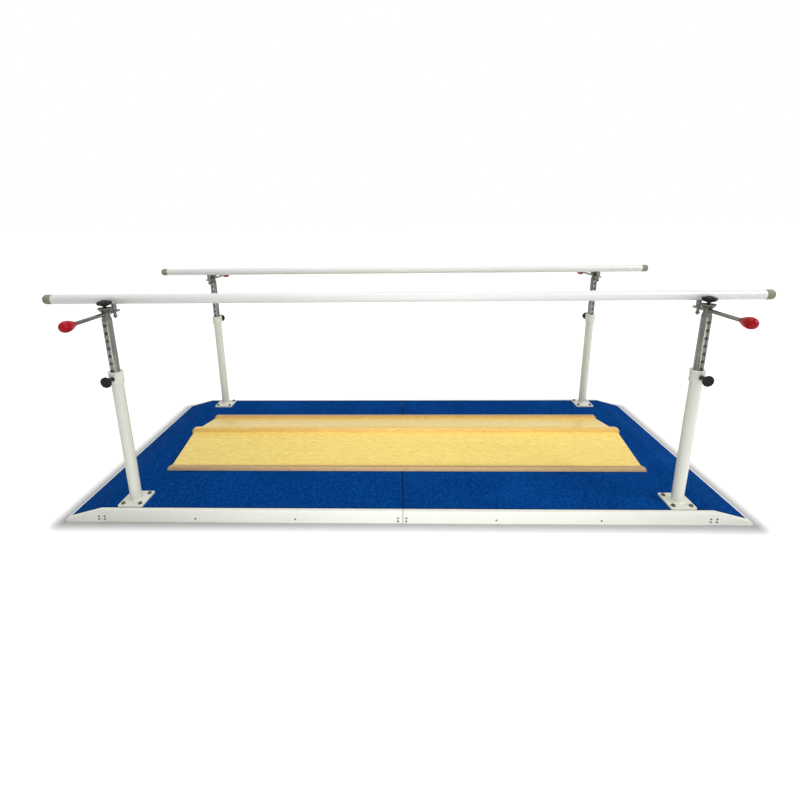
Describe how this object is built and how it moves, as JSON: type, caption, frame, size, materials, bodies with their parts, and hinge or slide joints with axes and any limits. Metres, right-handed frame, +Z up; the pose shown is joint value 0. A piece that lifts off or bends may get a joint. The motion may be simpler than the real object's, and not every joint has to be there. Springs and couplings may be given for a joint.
{
  "type": "rehabilitation walking parallel bars",
  "caption": "Walking parallel bars: telescopic posts on a ramped platform carry handrails that adjust in height and spread; a ridged wooden board lies between them.",
  "frame": {"origin": "on the floor at the middle of the platform", "axes": "+X along the handrails to the right, +Y towards the rear handrail, +Z up"},
  "size_m": [3.018, 1.564, 1.002],
  "materials": {
    "plywood": "plain plywood",
    "deck_mat": "matt non-slip covering",
    "nosing": "white coated",
    "rail_paint": "ivory white enamel",
    "post_paint": "satin warm white",
    "bar_coat": "satin white",
    "zinc": "zinc plated",
    "black_plastic": "satin black",
    "red_plastic": "glossy red",
    "cap_plastic": "khaki grey",
    "board_panel": "varnished light wood",
    "board_trim": "varnished orange wood"
  },
  "bodies": {
    "platform": {"deck_panel_left": "plywood", "ramp_board_left": "plywood", "mat_left": "deck_mat", "nosing_left": "nosing", "deck_panel_right": "plywood", "ramp_board_right": "plywood", "mat_right": "deck_mat", "nosing_right": "nosing", "side_rail_front_left": "rail_paint", "ramp_cheek_front_left": "rail_paint", "post_front_left": "post_paint", "side_rail_front_right": "rail_paint", "ramp_cheek_front_right": "rail_paint", "post_front_right": "post_paint", "side_rail_rear_left": "rail_paint", "ramp_cheek_rear_left": "rail_paint", "post_rear_left": "post_paint", "side_rail_rear_right": "rail_paint", "ramp_cheek_rear_right": "rail_paint", "post_rear_right": "post_paint"},
    "correction_board": {"board_panel_front": "board_panel", "board_panel_rear": "board_panel", "board_ridge": "board_trim", "board_lip_front": "board_trim", "board_lip_rear": "board_trim", "board_spine": "plywood"},
    "handrail_front": {"bar_front": "bar_coat", "end_cap_front_left": "cap_plastic", "slide_rod_front_left": "zinc", "grip_front_left": "red_plastic", "bar_bolt_front_left": "zinc", "end_cap_front_right": "cap_plastic", "slide_rod_front_right": "zinc", "grip_front_right": "red_plastic", "bar_bolt_front_right": "zinc"},
    "mast_body_front_left": {"mast_front_left": "zinc", "head_front_left": "zinc"},
    "star_knob_body_front_left": {"star_knob_front_left": "black_plastic"},
    "pin_body_front_left": {"pin_knob_front_left": "black_plastic"},
    "mast_body_front_right": {"mast_front_right": "zinc", "head_front_right": "zinc"},
    "star_knob_body_front_right": {"star_knob_front_right": "black_plastic"},
    "pin_body_front_right": {"pin_knob_front_right": "black_plastic"},
    "handrail_rear": {"bar_rear": "bar_coat", "end_cap_rear_left": "cap_plastic", "slide_rod_rear_left": "zinc", "grip_rear_left": "red_plastic", "bar_bolt_rear_left": "zinc", "end_cap_rear_right": "cap_plastic", "slide_rod_rear_right": "zinc", "grip_rear_right": "red_plastic", "bar_bolt_rear_right": "zinc"},
    "mast_body_rear_left": {"mast_rear_left": "zinc", "head_rear_left": "zinc"},
    "star_knob_body_rear_left": {"star_knob_rear_left": "black_plastic"},
    "pin_body_rear_left": {"pin_knob_rear_left": "black_plastic"},
    "mast_body_rear_right": {"mast_rear_right": "zinc", "head_rear_right": "zinc"},
    "star_knob_body_rear_right": {"star_knob_rear_right": "black_plastic"},
    "pin_body_rear_right": {"pin_knob_rear_right": "black_plastic"}
  },
  "joints": [
    {"name": "height_front_left", "type": "slide", "parent": "platform", "child": "mast_body_front_left", "axis": [0, 0, 1], "range_m": [-0.195, 0.065]},
    {"name": "height_front_right", "type": "slide", "parent": "platform", "child": "mast_body_front_right", "axis": [0, 0, 1], "range_m": [-0.195, 0.065]},
    {"name": "spread_front", "type": "slide", "parent": "mast_body_front_left", "child": "handrail_front", "axis": [0, 1, 0], "range_m": [0, 0.12]},
    {"name": "star_knob_turn_front_left", "type": "hinge", "parent": "mast_body_front_left", "child": "star_knob_body_front_left", "pos_m": [-1.216, -0.533, 0.97], "axis": [0, 0, 1], "range_deg": [0, 270]},
    {"name": "pin_pull_front_left", "type": "slide", "parent": "platform", "child": "pin_body_front_left", "axis": [0, -1, 0], "range_m": [-0.006, 0.006]},
    {"name": "star_knob_turn_front_right", "type": "hinge", "parent": "mast_body_front_right", "child": "star_knob_body_front_right", "pos_m": [1.216, -0.533, 0.97], "axis": [0, 0, 1], "range_deg": [0, 270]},
    {"name": "pin_pull_front_right", "type": "slide", "parent": "platform", "child": "pin_body_front_right", "axis": [0, -1, 0], "range_m": [-0.006, 0.006]},
    {"name": "height_rear_left", "type": "slide", "parent": "platform", "child": "mast_body_rear_left", "axis": [0, 0, 1], "range_m": [-0.195, 0.065]},
    {"name": "height_rear_right", "type": "slide", "parent": "platform", "child": "mast_body_rear_right", "axis": [0, 0, 1], "range_m": [-0.195, 0.065]},
    {"name": "spread_rear", "type": "slide", "parent": "mast_body_rear_left", "child": "handrail_rear", "axis": [0, -1, 0], "range_m": [0, 0.12]},
    {"name": "star_knob_turn_rear_left", "type": "hinge", "parent": "mast_body_rear_left", "child": "star_knob_body_rear_left", "pos_m": [-1.216, 0.533, 0.97], "axis": [0, 0, 1], "range_deg": [0, 270]},
    {"name": "pin_pull_rear_left", "type": "slide", "parent": "platform", "child": "pin_body_rear_left", "axis": [0, 1, 0], "range_m": [-0.006, 0.006]},
    {"name": "star_knob_turn_rear_right", "type": "hinge", "parent": "mast_body_rear_right", "child": "star_knob_body_rear_right", "pos_m": [1.216, 0.533, 0.97], "axis": [0, 0, 1], "range_deg": [0, 270]},
    {"name": "pin_pull_rear_right", "type": "slide", "parent": "platform", "child": "pin_body_rear_right", "axis": [0, 1, 0], "range_m": [-0.006, 0.006]},
    {"name": "board_lift", "type": "slide", "parent": "platform", "child": "correction_board", "axis": [0, 0, 1], "range_m": [0, 0.3]}
  ],
  "couplings": [
    {"joint": "height_front_right", "follows": "height_front_left", "ratio": 1},
    {"joint": "height_rear_right", "follows": "height_rear_left", "ratio": 1}
  ]
}
